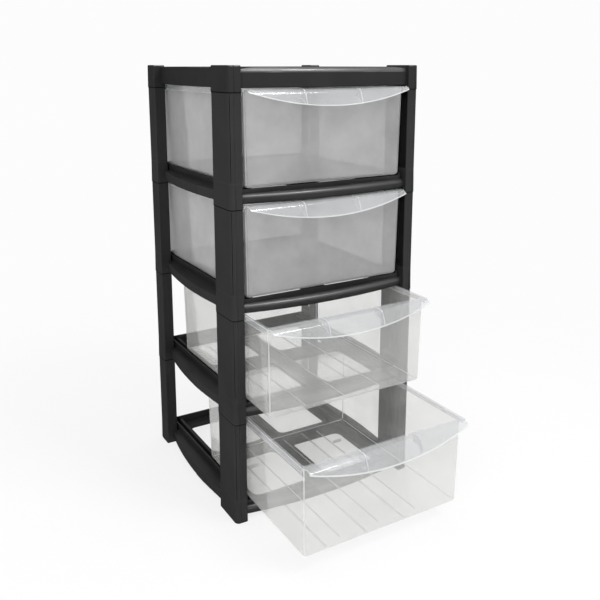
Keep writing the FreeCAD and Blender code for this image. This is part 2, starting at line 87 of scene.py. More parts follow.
class Bench:
    """Short ways to use Blender's own modelling tools on one object at a time."""

    @staticmethod
    def clear() -> None:
        """Deselect every object, so that a tool acts on nothing by surprise."""
        if bpy.context.mode != "OBJECT":
            bpy.ops.object.mode_set(mode="OBJECT")
        bpy.ops.object.select_all(action="DESELECT")

    @staticmethod
    def take(obj: bpy.types.Object) -> None:
        """Make obj the one selected and active object.

        Args:
            obj: The object.
        """
        Bench.clear()
        obj.select_set(True)
        bpy.context.view_layer.objects.active = obj

    @staticmethod
    def edit(obj: bpy.types.Object) -> None:
        """Open obj in edit mode, unless a mesh is being edited already.

        Args:
            obj: The object.
        """
        if bpy.context.mode != "EDIT_MESH":
            Bench.take(obj)
            bpy.ops.object.mode_set(mode="EDIT")

    @staticmethod
    def block(name: str, low: Vector, high: Vector) -> bpy.types.Object:
        """Add a box between two corners.

        Args:
            name: The new object's name.
            low: Its lowest corner.
            high: Its highest corner.

        Returns:
            The new object, with its place in its mesh.
        """
        Bench.clear()
        size = high - low
        bpy.ops.mesh.primitive_cube_add(size=1.0, location=(low + high) / 2)
        obj = bpy.context.active_object
        obj.name = obj.data.name = name
        obj.scale = size
        Bench.settle(obj)
        return obj

    @staticmethod
    def settle(obj: bpy.types.Object) -> None:
        """Move the object's place, turn and scale into its mesh."""
        Bench.take(obj)
        bpy.ops.object.transform_apply(location=True, rotation=True, scale=True)

    @staticmethod
    def pick(obj: bpy.types.Object, kind: Part, test: Test) -> None:
        """Select parts of the mesh in edit mode by their place.

        Args:
            obj: The object being edited.
            kind: Vertices, edges or faces.
            test: Given each vertex's place; all of a part's vertices have to pass.
        """
        Bench.edit(obj)
        bpy.ops.mesh.select_mode(type=kind.value)
        bpy.ops.mesh.select_all(action="DESELECT")
        mesh = bmesh.from_edit_mesh(obj.data)
        passed = {vert.index: test(vert.co) for vert in mesh.verts}
        if kind is Part.VERT:
            chosen = [vert for vert in mesh.verts if passed[vert.index]]
        elif kind is Part.EDGE:
            chosen = [edge for edge in mesh.edges if all(passed[v.index] for v in edge.verts)]
        else:
            chosen = [face for face in mesh.faces if all(passed[v.index] for v in face.verts)]
        for each in chosen:
            each.select_set(True)
        mesh.select_flush_mode()
        bmesh.update_edit_mesh(obj.data)

    @staticmethod
    def keep(obj: bpy.types.Object, test: EdgeTest) -> None:
        """Drop the selected edges that fail the test.

        Args:
            obj: The object being edited.
            test: Given an edge, says if it stays selected.
        """
        mesh = bmesh.from_edit_mesh(obj.data)
        for edge in mesh.edges:
            if edge.select and not test(edge):
                edge.select_set(False)
        bmesh.update_edit_mesh(obj.data)

    @staticmethod
    def paint(obj: bpy.types.Object, slot: int, test: FaceTest) -> None:
        """Give the faces that pass the test one of the object's materials.

        Args:
            obj: The object.
            slot: Index of the material.
            test: Given a face's middle and normal, says if the face takes the material.
        """
        Bench.pick(obj, Part.FACE, lambda p: False)
        mesh = bmesh.from_edit_mesh(obj.data)
        for face in mesh.faces:
            face.select_set(test(face.calc_center_median(), face.normal))
        bmesh.update_edit_mesh(obj.data)
        obj.active_material_index = slot
        bpy.ops.object.material_slot_assign()
        bpy.ops.object.mode_set(mode="OBJECT")

    @staticmethod
    def shift(obj: bpy.types.Object, test: Test, step: Point) -> None:
        """Move the vertices that pass the test by one step."""
        Bench.pick(obj, Part.VERT, test)
        bpy.ops.transform.translate(value=step)

    @staticmethod
    def done(obj: bpy.types.Object) -> None:
        """Merge doubles, turn the normals outwards and leave edit mode.

        Args:
            obj: The object being edited.
        """
        Bench.edit(obj)
        bpy.ops.mesh.select_mode(type="VERT")
        bpy.ops.mesh.select_all(action="SELECT")
        bpy.ops.mesh.remove_doubles(threshold=WELD)
        bpy.ops.mesh.normals_make_consistent(inside=False)
        bpy.ops.object.mode_set(mode="OBJECT")

    @staticmethod
    def face_out(obj: bpy.types.Object, vote: FaceVote) -> None:
        """Flip an open skin if most of its faces point the wrong way.

        Args:
            obj: The skin.
            vote: Given a face's middle and normal, says if that face is right, or None where the
                face doesn't tell.
        """
        votes = [vote(face.center, face.normal) for face in obj.data.polygons]
        if votes.count(False) > votes.count(True):
            Bench.edit(obj)
            bpy.ops.mesh.select_all(action="SELECT")
            bpy.ops.mesh.flip_normals()
            bpy.ops.object.mode_set(mode="OBJECT")

    @staticmethod
    def modify(obj: bpy.types.Object, kind: str, **settings: object) -> None:
        """Add a modifier with its settings, and apply it.

        Args:
            obj: The object that takes it.
            kind: Blender's name of the modifier.
            settings: The modifier's own properties.
        """
        Bench.take(obj)
        modifier = obj.modifiers.new(kind.title(), kind)
        for key, value in settings.items():
            setattr(modifier, key, value)
        bpy.ops.object.modifier_apply(modifier=modifier.name)

    @staticmethod
    def smooth(obj: bpy.types.Object, degrees: float = 32.0) -> None:
        """Shade smooth, but for edges sharper than the angle."""
        Bench.take(obj)
        bpy.ops.object.shade_smooth_by_angle(angle=math.radians(degrees))

    @staticmethod
    def join(objects: list[bpy.types.Object]) -> bpy.types.Object:
        """Join objects into one.

        Args:
            objects: The objects; the first one takes in the others.

        Returns:
            The first object.
        """
        Bench.clear()
        for obj in objects:
            obj.select_set(True)
        bpy.context.view_layer.objects.active = objects[0]
        bpy.ops.object.join()
        return objects[0]

    @staticmethod
    def copy(obj: bpy.types.Object, name: str, step: Vector) -> bpy.types.Object:
        """Copy an object with its own mesh, moved by a step.

        Args:
            obj: The object to copy.
            name: The copy's name.
            step: How far the copy lies from the original.

        Returns:
            The copy, with its place in its mesh.
        """
        Bench.take(obj)
        bpy.ops.object.duplicate(linked=False)
        twin = bpy.context.active_object
        twin.name = twin.data.name = name
        twin.location = step
        Bench.settle(twin)
        return twin

    @staticmethod
    def discard(obj: bpy.types.Object) -> None:
        """Delete an object that was only a tool or a pattern."""
        Bench.take(obj)
        bpy.ops.object.delete()


class Sheet:
    """The node tree of one material, with short ways to add and join nodes."""

    # Places of the colour sockets on Blender's Mix node, whose names other sockets share.
    FIRST, SECOND, BLENDED = 6, 7, 2
    # Cosine of the angle between the rounded and the flat normal: at an edge, and away from it.
    AT_EDGE, OFF_EDGE = 0.86, 0.998
    EDGE_SAMPLES = 4
    NOISE_ROUGHNESS = 0.55

    def __init__(self, name: str) -> None:
        """Start an empty material with that name.

        Args:
            name: The material's name.
        """
        self.material = bpy.data.materials.new(name)
        self.material.use_nodes = True
        self.tree = self.material.node_tree
        self.tree.nodes.clear()
        self.place = self.add("ShaderNodeTexCoord").outputs["Object"]

    def add(self, kind: str, inputs: dict | None = None, **settings: object) -> bpy.types.Node:
        """Add a node.

        Args:
            kind: Blender's name of the node.
            inputs: Values or sockets, by input name or index.
            settings: The node's own properties.

        Returns:
            The new node.
        """
        node = self.tree.nodes.new(kind)
        for key, value in settings.items():
            setattr(node, key, value)
        for key, value in (inputs or {}).items():
            if isinstance(value, bpy.types.NodeSocket):
                self.tree.links.new(value, node.inputs[key])
            else:
                node.inputs[key].default_value = value
        return node

    def noise(self, scale: float, detail: float, stretch: Point = (1.0, 1.0, 1.0)
              ) -> bpy.types.NodeSocket:
        """Noise over the object's own coordinates.

        Args:
            scale: Cells per metre.
            detail: Octaves of finer noise.
            stretch: Scale of the coordinates along each axis.

        Returns:
            The noise's value, about 0 to 1.
        """
        mapped = self.add("ShaderNodeMapping", {"Vector": self.place, "Scale": stretch})
        texture = self.add("ShaderNodeTexNoise", {"Vector": mapped.outputs[0], "Scale": scale,
                                                  "Detail": detail,
                                                  "Roughness": self.NOISE_ROUGHNESS})
        return texture.outputs["Fac"]

    def spread(self, value: bpy.types.NodeSocket, low: float, high: float,
               start: float = 0.3, end: float = 0.7) -> bpy.types.NodeSocket:
        """Map value from start..end to low..high, clamped."""
        return self.add("ShaderNodeMapRange", {"Value": value, "From Min": start, "From Max": end,
                                               "To Min": low, "To Max": high}).outputs[0]

    def edges(self, radius: float, most: float) -> bpy.types.NodeSocket:
        """Value that rises from 0 to most within a radius of the mesh's sharp edges.

        Args:
            radius: How far from an edge it starts to rise.
            most: Its value at the edge.

        Returns:
            The value.
        """
        rounded = self.add("ShaderNodeBevel", {"Radius": radius},
                           samples=self.EDGE_SAMPLES).outputs[0]
        flat = self.add("ShaderNodeNewGeometry").outputs["Normal"]
        facing = self.add("ShaderNodeVectorMath", {0: rounded, 1: flat}, operation="DOT_PRODUCT")
        return self.spread(facing.outputs["Value"], most, 0.0, self.AT_EDGE, self.OFF_EDGE)

    def reckon(self, operation: str, first: object, second: object = 0.0) -> bpy.types.NodeSocket:
        """One step of arithmetic on two values or sockets."""
        return self.add("ShaderNodeMath", {0: first, 1: second}, operation=operation,
                        use_clamp=True).outputs[0]

    def blend(self, share: bpy.types.NodeSocket, first: Colour | bpy.types.NodeSocket,
              second: Colour) -> bpy.types.NodeSocket:
        """Colour between a colour, or another blend, and a second colour, by share.

        Args:
            share: How much of the second colour.
            first: A colour, or the socket of another blend.
            second: A colour.

        Returns:
            The blended colour.
        """
        start = (*first, 1.0) if isinstance(first, tuple) else first
        return self.add("ShaderNodeMix", {"Factor": share, self.FIRST: start,
                                          self.SECOND: (*second, 1.0)},
                        data_type="RGBA").outputs[self.BLENDED]

    def mix(self, share: object, first: bpy.types.Node, second: bpy.types.Node) -> bpy.types.Node:
        """Shader between two shaders, by share."""
        return self.add("ShaderNodeMixShader", {0: share, 1: first.outputs[0], 2: second.outputs[0]})

    def sum_rays(self, kinds: tuple[str, ...]) -> bpy.types.NodeSocket:
        """Value 1 for each ray that is of any of the kinds, and 0 for the others.

        Args:
            kinds: Names of the Light Path node's outputs.

        Returns:
            The value.
        """
        path = self.add("ShaderNodeLightPath")
        seen = path.outputs[kinds[0]]
        for kind in kinds[1:]:
            seen = self.reckon("ADD", seen, path.outputs[kind])
        return seen

    def finish(self, surface: bpy.types.NodeSocket) -> bpy.types.Material:
        """Join the surface to the output and return the material."""
        self.add("ShaderNodeOutputMaterial", {"Surface": surface})
        return self.material


@dataclass(frozen=True)
class FramePlastic:
    """Satin black polypropylene, grained, with a painted highlight: more gloss on the shoulders of the
    front rails, on faces turned to the front and above, where the lamps hang.
    """

    name: str = "frame_polypropylene"
    shade: Colour = (0.0190, 0.0195, 0.0190)
    bloom: Colour = (0.0290, 0.0295, 0.0290)
    # Lighter colour at sharp edges: partly rubbed wear, partly a painted highlight where the edges
    # catch the light.
    edge: Colour = (0.060, 0.061, 0.060)
    seam: Colour = (0.003, 0.003, 0.003)
    seam_pitch: float = 0.194
    seam_width: float = 0.0012
    seam_fade: float = 1.6
    lowest_seam: tuple[float, float] = (0.01, 0.02)
    edge_radius: float = 0.0008
    edge_wear_and_glint: tuple[float, float] = (0.35, 1.0)
    cloud_scale: float = 5.0
    flow_scale: float = 28.0
    flow_stretch: Point = (1.0, 1.0, 0.12)
    grain_scale: float = 1500.0
    grain_rough: float = 0.03
    grain_strength: float = 0.12
    grain_depth: float = 0.0002
    shine: float = 0.017
    # Painted highlight: gloss rises from shine to this on faces turned along the way below, towards the
    # lamps at the front and above.
    highlight_shine: float = 0.075
    highlight_way: Point = (0.0, -0.66, 0.75)
    highlight_from: float = 0.72
    highlight_full: float = 0.88
    rough_low: float = 0.30
    rough_high: float = 0.44

    def build(self) -> bpy.types.Material:
        """Make the material.

        Returns:
            The new material.
        """
        sheet = Sheet(self.name)
        cloud = sheet.noise(self.cloud_scale, detail=4.0)
        flow = sheet.noise(self.flow_scale, detail=3.0, stretch=self.flow_stretch)
        grain = sheet.noise(self.grain_scale, detail=2.0)
        # Sharp edges turn lighter: partly wear, partly a painted glint along each edge, such as at the
        # foot of each corner block.
        wear_and_glint = sheet.edges(self.edge_radius, 1.0)
        wear_and_glint = sheet.reckon("MULTIPLY", wear_and_glint, sheet.spread(cloud, *self.edge_wear_and_glint))
        colour = sheet.blend(sheet.spread(cloud, 0.0, 1.0), self.shade, self.bloom)
        colour = sheet.blend(wear_and_glint, colour, self.edge)
        joint = self.joints(sheet)
        colour = sheet.blend(joint, colour, self.seam)
        rough = sheet.spread(flow, self.rough_low, self.rough_high)
        rough = sheet.reckon("ADD", rough, sheet.spread(grain, -self.grain_rough, self.grain_rough))
        bump = sheet.add("ShaderNodeBump", {"Height": grain, "Strength": self.grain_strength,
                                            "Distance": self.grain_depth})
        matte = sheet.add("ShaderNodeBsdfDiffuse", {"Color": colour, "Normal": bump.outputs[0]})
        satin = sheet.add("ShaderNodeBsdfAnisotropic", {"Roughness": rough,
                                                        "Normal": bump.outputs[0]})
        # Painted highlight: the gloss share follows how far each face turns towards the lamps, not the
        # light that reaches it.
        facing = sheet.add("ShaderNodeNewGeometry").outputs["Normal"]
        facing_light = sheet.add("ShaderNodeVectorMath", {0: facing, 1: self.highlight_way},
                          operation="DOT_PRODUCT").outputs["Value"]
        shine = sheet.spread(facing_light, self.shine, self.highlight_shine, self.highlight_from, self.highlight_full)
        shine = sheet.reckon("SUBTRACT", shine, joint)
        return sheet.finish(sheet.mix(shine, matte, satin).outputs[0])

    def joints(self, sheet: Sheet) -> bpy.types.NodeSocket:
        """Share of the dark line where each corner block meets the upright below it.

        Args:
            sheet: The node tree that takes the nodes.

        Returns:
            The share, 1 on the line and 0 off it.
        """
        height = sheet.add("ShaderNodeSeparateXYZ", {0: sheet.place}).outputs["Z"]
        tiers = sheet.add("ShaderNodeMath", {0: height, 1: self.seam_pitch}, operation="DIVIDE")
        whole = sheet.add("ShaderNodeMath", {0: tiers.outputs[0]}, operation="ROUND")
        apart = sheet.add("ShaderNodeMath", {0: tiers.outputs[0], 1: whole.outputs[0]},
                          operation="SUBTRACT")
        apart = sheet.add("ShaderNodeMath", {0: apart.outputs[0]}, operation="ABSOLUTE")
        reach = self.seam_width / 2 / self.seam_pitch
        line = sheet.spread(apart.outputs[0], 1.0, 0.0, reach, reach * self.seam_fade)
        above_floor = sheet.spread(height, 0.0, 1.0, *self.lowest_seam)
        return sheet.reckon("MULTIPLY", line, above_floor)


@dataclass(frozen=True)
class DrawerPlastic:
    """Clear polypropylene with a little haze, which gathers where a wall is seen edge on."""

    name: str
    tint: Colour
    haze: float
    haze_swing: float = 0.2
    grazing_haze: float = 0.35
    grazing_power: float = 4.0
    milk: Colour = (0.92, 0.925, 0.92)
    scuffs: float = 0.02
    scuff_range: tuple[float, float] = (0.55, 0.75)
    scuff_scale: float = 70.0
    scuff_stretch: Point = (1.0, 0.14, 1.0)
    cloud_scale: float = 11.0
    # Painted highlight: extra haze along sharp edges, so that they read as bright lines.
    edge_highlight_haze: float = 0.0
    edge_radius: float = 0.0007
    through: float = 0.25
    waviness: float = 0.35
    wave_scale: float = 16.0
    wave_depth: float = 0.002
    shine: float = 0.035
    grazing_shine: float = 0.8
    shine_power: float = 5.0
    rough: float = 0.12

    def build(self) -> bpy.types.Material:
        """Make the material.

        Returns:
            The new material.
        """
        sheet = Sheet(self.name)
        cloud = sheet.noise(self.cloud_scale, detail=4.0)
        scuff = sheet.noise(self.scuff_scale, detail=5.0, stretch=self.scuff_stretch)
        wave = sheet.noise(self.wave_scale, detail=1.0)
        edge_on = sheet.add("ShaderNodeLayerWeight", {"Blend": 0.5}).outputs["Facing"]
        haze = sheet.spread(cloud, self.haze * (1 - self.haze_swing), self.haze * (1 + self.haze_swing))
        haze = sheet.reckon("ADD", haze, sheet.spread(scuff, 0.0, self.scuffs, *self.scuff_range))
        grazing = sheet.reckon("POWER", edge_on, self.grazing_power)
        haze = sheet.reckon("ADD", haze, sheet.reckon("MULTIPLY", grazing, self.grazing_haze))
        # Painted highlight: sharp edges gather extra haze and show as bright lines.
        if self.edge_highlight_haze:
            haze = sheet.reckon("ADD", haze, sheet.edges(self.edge_radius, self.edge_highlight_haze))
        bump = sheet.add("ShaderNodeBump", {"Height": wave, "Strength": self.waviness,
                                            "Distance": self.wave_depth})
        clear = sheet.add("ShaderNodeBsdfTransparent", {"Color": (*self.tint, 1.0)})
        front = sheet.add("ShaderNodeBsdfDiffuse", {"Color": (*self.milk, 1.0)})
        back = sheet.add("ShaderNodeBsdfTranslucent", {"Color": (*self.milk, 1.0)})
        body = sheet.mix(haze, clear, sheet.mix(self.through, front, back))
        gloss = sheet.add("ShaderNodeBsdfAnisotropic", {"Roughness": self.rough,
                                                        "Normal": bump.outputs[0]})
        mirrored = sheet.reckon("POWER", edge_on, self.shine_power)
        mirrored = sheet.reckon("MULTIPLY", mirrored, self.grazing_shine)
        mirrored = sheet.reckon("ADD", mirrored, self.shine)
        return sheet.finish(sheet.mix(mirrored, body, gloss).outputs[0])


@dataclass(frozen=True)
class StudioPaper:
    """White paper under the tower. It looks white, and keeps a soft shadow."""

    name: str = "studio_paper"
    glow: float = 0.80
    white: float = 0.975
    shadow_near: float = 0.5
    shadow_far: float = 1.3
    fibre_scale: float = 180.0
    fibre: tuple[float, float] = (0.93, 0.97)

    def build(self) -> bpy.types.Material:
        """Make the material.

        Returns:
            The new material.
        """
        sheet = Sheet(self.name)
        fibre = sheet.spread(sheet.noise(self.fibre_scale, detail=4.0), *self.fibre)
        paper = sheet.add("ShaderNodeCombineColor", {0: fibre, 1: fibre, 2: fibre})
        matte = sheet.add("ShaderNodeBsdfDiffuse", {"Color": paper.outputs[0]})
        white = sheet.add("ShaderNodeEmission", {"Strength": self.white})
        seen = sheet.sum_rays(("Is Camera Ray", "Is Glossy Ray", "Is Transmission Ray"))
        apart = sheet.add("ShaderNodeVectorMath", {0: sheet.place}, operation="LENGTH")
        fade = sheet.spread(apart.outputs["Value"], self.glow, 1.0, self.shadow_near, self.shadow_far)
        share = sheet.reckon("MULTIPLY", seen, fade)
        return sheet.finish(sheet.mix(share, matte, white).outputs[0])


@dataclass(frozen=True)
class Gusset:
    """Sizes of the thin web that ties the lip to the wall. Its steps run (forwards, down)."""

    spread: float = 0.057
    thickness: float = 0.0016
    bite: float = 0.0004
    below_rim: float = 0.0012
    depth: float = 0.0094
    height: float = 0.0165
    middle_step: tuple[float, float] = (0.0068, 0.0052)
    middle_lift: float = 0.0028
    toe_step: tuple[float, float] = (0.0044, 0.0058)
    heel_step: tuple[float, float] = (0.0064, -0.0012)


@dataclass(frozen=True)
class Strip:
    """Sizes of a raised strip of the floor, and how far its ends stay from the walls."""

    width: float
    gap: float
    height: float
    end_steps: int = 6
    top_steps: int = 2


@dataclass(frozen=True)
class Lug:
    """Sizes of a stop lug under the floor. It stands a little way into the floor."""

    place: tuple[float, float] = (0.100, 0.114)
    width: float = 0.020
    thickness: float = 0.004
    depth: float = 0.005
    bite: float = 0.0004
    rounding: float = 0.0006


@dataclass(frozen=True)
class Drawer:
    """One clear drawer, modelled closed on the lowest tier: tub, rim, lip, gussets and lugs."""

    floor_half: float = 0.1625
    wall_half: float = 0.1655
    rim_half: float = 0.169
    floor_z: float = 0.0338
    rim_z: float = 0.1998
    front_floor: float = -0.1855
    front_rim: float = -0.187
    rear_floor: float = 0.1875
    rear_rim: float = 0.1905
    wall: float = 0.0016
    corner: float = 0.0075
    flange: float = 0.0035
    skirt: float = 0.009
    lip_flat: float = 0.0089
    lip_rounding: float = 0.014
    lip_fall: float = 70.0
    lip_droop: float = 0.031
    lip_end_droop: float = 0.005
    lip_bead: float = 0.0019
    lip_edge_lift: float = 8 * TINY
    lip_edge_slack: float = 4 * TINY
    gusset: Gusset = Gusset()
    lug: Lug = Lug()
    rib: Strip = Strip(width=0.002, gap=0.0176, height=0.0016)
    # The rib_shadow strip is painted shade: a faint hazy strip that draws the shade beside each rib as
    # a darker line.
    rib_shadow: Strip = Strip(width=0.0045, gap=0.007, height=0.0006)
    rib_shadow_offset: float = 0.034
    strip_bite: float = 0.0003
    strip_end: float = 0.49
    corner_band: float = 0.62
    square_reach: float = 1.3
    steps: int = 7
    lip_columns: int = 31
    roller_sides: int = 480
    roller_depth: float = 0.3
    cut_clearance: float = 0.0006
    cut_half_width: float = 0.2
    cut_depth: float = 0.05
    cut_fall: float = 0.06

    @property
    def skin_z(self) -> float:
        """Height of the rim's skin, which takes its thickness upwards."""
        return self.rim_z - self.wall

    @property
    def skin_half(self) -> float:
        """Half the width of the rim's skin, which takes its thickness outwards."""
        return self.rim_half - self.wall

    @property
    def skin_front(self) -> float:
        """Front edge of the lip's flat, where it starts to round over."""
        return self.front_rim - self.lip_flat

    @property
    def cut_front(self) -> float:
        """How far back the tools reach that shape the lip, just short of the wall."""
        return self.front_rim - self.cut_clearance

    @property
    def lowest(self) -> float:
        """Height of the underside of the lugs."""
        return self.floor_z - self.lug.depth

    @property
    def rearmost(self) -> float:
        """Back of the flange."""
        return self.rear_rim + self.flange

    def tub(self) -> bpy.types.Object:
        """Model the tapered tub as one skin, open above, with round corners.

        Returns:
            The skin, still without a thickness.
        """
        obj = Bench.block("drawer_pattern", Vector((-self.floor_half, self.front_floor, self.floor_z)),
                          Vector((self.floor_half, self.rear_floor, self.skin_z)))
        top = self.skin_z - TINY
        Bench.pick(obj, Part.FACE, lambda p: p.z > top)
        bpy.ops.mesh.delete(type="FACE")
        spread = self.wall_half - self.floor_half
        Bench.shift(obj, lambda p: p.z > top and p.x < 0, (-spread, 0, 0))
        Bench.shift(obj, lambda p: p.z > top and p.x > 0, (spread, 0, 0))
        Bench.shift(obj, lambda p: p.z > top and p.y < 0, (0, self.front_rim - self.front_floor, 0))
        Bench.shift(obj, lambda p: p.z > top and p.y > 0, (0, self.rear_rim - self.rear_floor, 0))
        Bench.pick(obj, Part.EDGE, lambda p: True)
        Bench.keep(obj, lambda edge: not all(vert.co.z > top for vert in edge.verts))
        bpy.ops.mesh.bevel(offset=self.corner, offset_type="OFFSET", segments=self.steps,
                           affect="EDGES", profile=0.5)
        return obj

    def rim(self, obj: bpy.types.Object) -> None:
        """Lead the rim outwards: a flange at the sides and back, the lip's flat at the front.

        Args:
            obj: The drawer so far.
        """
        top, front = self.skin_z - TINY, self.skin_front
        back = self.rearmost - self.wall
        Bench.pick(obj, Part.EDGE, lambda p: p.z > top and p.y < self.front_rim + TINY)
        bpy.ops.mesh.subdivide(number_cuts=self.lip_columns)
        Bench.pick(obj, Part.EDGE, lambda p: p.z > top)
        grow_x = self.skin_half / self.wall_half
        grow_y = (back - front) / (self.rear_rim - self.front_rim)
        bpy.ops.mesh.extrude_edges_move()
        bpy.ops.transform.resize(value=(grow_x, grow_y, 1.0), center_override=(0.0, 0.0, self.skin_z))
        bpy.ops.transform.translate(value=(0.0, back - grow_y * self.rear_rim, 0.0))
        self.square_corners(obj)
        Bench.pick(obj, Part.EDGE, lambda p: p.z > top and (
            abs(p.x) > self.skin_half - TINY or p.y > self.rear_rim - self.corner))
        Bench.keep(obj, lambda edge: len(edge.link_faces) == 1)
        bpy.ops.mesh.extrude_edges_move(TRANSFORM_OT_translate={"value": (0, 0, -self.skirt)})

    def square_corners(self, obj: bpy.types.Object) -> None:
        """Draw the rim's two front corners out square, so that the lip runs the full width.

        Args:
            obj: The drawer so far.
        """
        top, front = self.skin_z - TINY, self.skin_front
        reach = self.corner * self.square_reach
        for side in (-1, 1):
            corner = (side * self.skin_half, front, self.skin_z)

            def inset(p: Vector, side: int = side) -> float:
                """How far the place lies inside the rim's side."""
                return self.skin_half - side * p.x

            def in_corner(p: Vector) -> bool:
                """Say if the place lies on the rim's flat, at its front corner."""
                return p.z > top and inset(p) < reach and p.y < self.front_rim - TINY

            Bench.pick(obj, Part.VERT, lambda p: in_corner(p) and inset(p) < p.y - front)
            bpy.ops.transform.resize(value=(0.0, 1.0, 1.0), center_override=corner)
            Bench.pick(obj, Part.VERT, lambda p: in_corner(p) and inset(p) >= p.y - front)
            bpy.ops.transform.resize(value=(1.0, 0.0, 1.0), center_override=corner)

    def lip(self, obj: bpy.types.Object) -> None:
        """Round the front of the rim over and let it fall.

        Args:
            obj: The drawer so far.
        """
        top, front = self.skin_z - TINY, self.skin_front
        turn = math.radians(self.lip_fall)
        Bench.pick(obj, Part.EDGE, lambda p: p.z > top and p.y < front + TINY)
        bpy.ops.mesh.spin(steps=self.steps + 1, angle=-turn, axis=(1, 0, 0),
                          center=(0.0, front, self.rim_z - self.lip_rounding))
        fall = self.lip_droop + self.wall - self.lip_rounding * (1 - math.cos(turn))
        bpy.ops.mesh.extrude_edges_move(
            TRANSFORM_OT_translate={"value": (0, -fall / math.tan(turn), -fall)})

    def lip_arc(self) -> tuple[float, float]:
        """Work out the arc that the lip's lower edge follows.

        Returns:
            The height of its centre, and its radius.
        """
        rise = self.lip_droop - self.lip_end_droop
        radius = (self.rim_half ** 2 + rise ** 2) / (2 * rise)
        return self.rim_z - self.lip_droop + self.lip_edge_lift + radius, radius

    def roller(self, radius: float, y: float, depth: float) -> bpy.types.Object:
        """Model a large cylinder around the centre of the lip's arc.

        Args:
            radius: Its radius.
            y: Its middle, from front to back.
            depth: Its length, from front to back.

        Returns:
            The cylinder.
        """
        Bench.clear()
        bpy.ops.mesh.primitive_cylinder_add(vertices=self.roller_sides, radius=radius, depth=depth,
                                            location=(0.0, y, self.lip_arc()[0]),
                                            rotation=(math.pi / 2, 0, 0))
        obj = bpy.context.active_object
        Bench.settle(obj)
        return obj

    def trim(self, obj: bpy.types.Object) -> None:
        """Cut the lip's lower edge to its arc, which droops at the middle.

        Args:
            obj: The drawer, with its thickness.
        """
        back, half = self.cut_front, self.cut_half_width
        top = self.rim_z - self.lip_end_droop + self.cut_clearance
        front, low = back - self.cut_depth, self.rim_z - self.cut_fall
        cutter = Bench.block("lip_cutter", Vector((-half, front, low)), Vector((half, back, top)))
        roller = self.roller(self.lip_arc()[1], self.front_rim, self.roller_depth)
        Bench.modify(cutter, "BOOLEAN", operation="DIFFERENCE", object=roller, solver="EXACT")
        Bench.modify(obj, "BOOLEAN", operation="DIFFERENCE", object=cutter, solver="EXACT",
                     use_self=True, use_hole_tolerant=True)
        Bench.discard(roller)
        Bench.discard(cutter)

    def score(self, obj: bpy.types.Object, slot: int) -> bpy.types.Object:
        """Score a line just above the lip's lower edge, so that the edge can be painted.

        Args:
            obj: The drawer.
            slot: Index of a material that none of its faces has yet.

        Returns:
            The drawer, with the line cut into the lip's faces.
        """
        hoop = self.roller(self.lip_arc()[1] - self.lip_bead, self.cut_front - self.cut_depth / 2,
                           self.cut_depth)
        hoop.data.materials.append(obj.data.materials[slot])
        Bench.pick(hoop, Part.FACE, lambda p: p.z > self.rim_z)
        bpy.ops.mesh.delete(type="FACE")
        bpy.ops.object.mode_set(mode="OBJECT")
        obj = Bench.join([obj, hoop])
        Bench.pick(obj, Part.FACE, lambda p: False)
        obj.active_material_index = slot
        bpy.ops.object.material_slot_select()
        bpy.ops.mesh.intersect(mode="SELECT_UNSELECT", separate_mode="NONE", solver="EXACT")
        bpy.ops.mesh.select_all(action="DESELECT")
        bpy.ops.object.material_slot_select()
        bpy.ops.mesh.delete(type="FACE")
        bpy.ops.mesh.select_all(action="SELECT")
        bpy.ops.mesh.remove_doubles(threshold=WELD)
        bpy.ops.mesh.fill_holes(sides=3)
        bpy.ops.mesh.select_all(action="SELECT")
        bpy.ops.mesh.dissolve_degenerate(threshold=WELD)
        bpy.ops.object.mode_set(mode="OBJECT")
        return obj

    def web(self, side: int) -> bpy.types.Object:
        """Model one thin web that ties the lip to the wall.

        Args:
            side: -1 for the left one, 1 for the right one.

        Returns:
            The web, in its place.
        """
        sizes, half = self.gusset, self.gusset.thickness / 2
        back, top = self.front_rim + sizes.bite, self.rim_z - sizes.below_rim
        front, foot = back - sizes.depth, top - sizes.height
        web = Bench.block("gusset", Vector((-half, front, foot)), Vector((half, back, top)))

        Bench.pick(web, Part.FACE, lambda p: p.y < front + TINY)
        self.push(sizes.middle_step)
        middle = front - sizes.middle_step[0]
        Bench.shift(web, lambda p: p.y < middle + TINY and p.z > foot, (0, 0, sizes.middle_lift))

        Bench.pick(web, Part.FACE, lambda p: p.y < middle + TINY)
        self.push(sizes.toe_step)
        toe = middle - sizes.toe_step[0]
        forwards, down = sizes.heel_step
        Bench.shift(web, lambda p: p.y < toe + TINY and p.z < foot, (0, -forwards, -down))
        Bench.done(web)
        web.location.x = side * sizes.spread
        Bench.settle(web)
        return web

    @staticmethod
    def push(step: tuple[float, float]) -> None:
        """Extrude the selected faces by a step forwards and down."""
        forwards, down = step
        bpy.ops.mesh.extrude_region_move(TRANSFORM_OT_translate={"value": (0, -forwards, -down)})

    def strip(self, x: float, sizes: Strip) -> bpy.types.Object:
        """Model one raised strip of the floor, with round ends.

        Args:
            x: Middle of the strip.
            sizes: Its sizes.

        Returns:
            The strip.
        """
        base = self.floor_z + self.wall - self.strip_bite
        strip = Bench.block("strip", Vector((x - sizes.width / 2, self.front_floor + sizes.gap, base)),
                            Vector((x + sizes.width / 2, self.rear_floor - sizes.gap,
                                    base + sizes.height + self.strip_bite)))
        Bench.pick(strip, Part.EDGE, lambda p: True)
        Bench.keep(strip, lambda edge: abs(edge.verts[0].co.z - edge.verts[1].co.z) > TINY)
        bpy.ops.mesh.bevel(offset=sizes.width * self.strip_end, segments=sizes.end_steps,
                           affect="EDGES", profile=0.5)
        Bench.pick(strip, Part.EDGE, lambda p: p.z > base + sizes.height)
        bpy.ops.mesh.bevel(offset=sizes.height / 2, segments=sizes.top_steps, affect="EDGES",
                           profile=0.5)
        Bench.done(strip)
        return strip

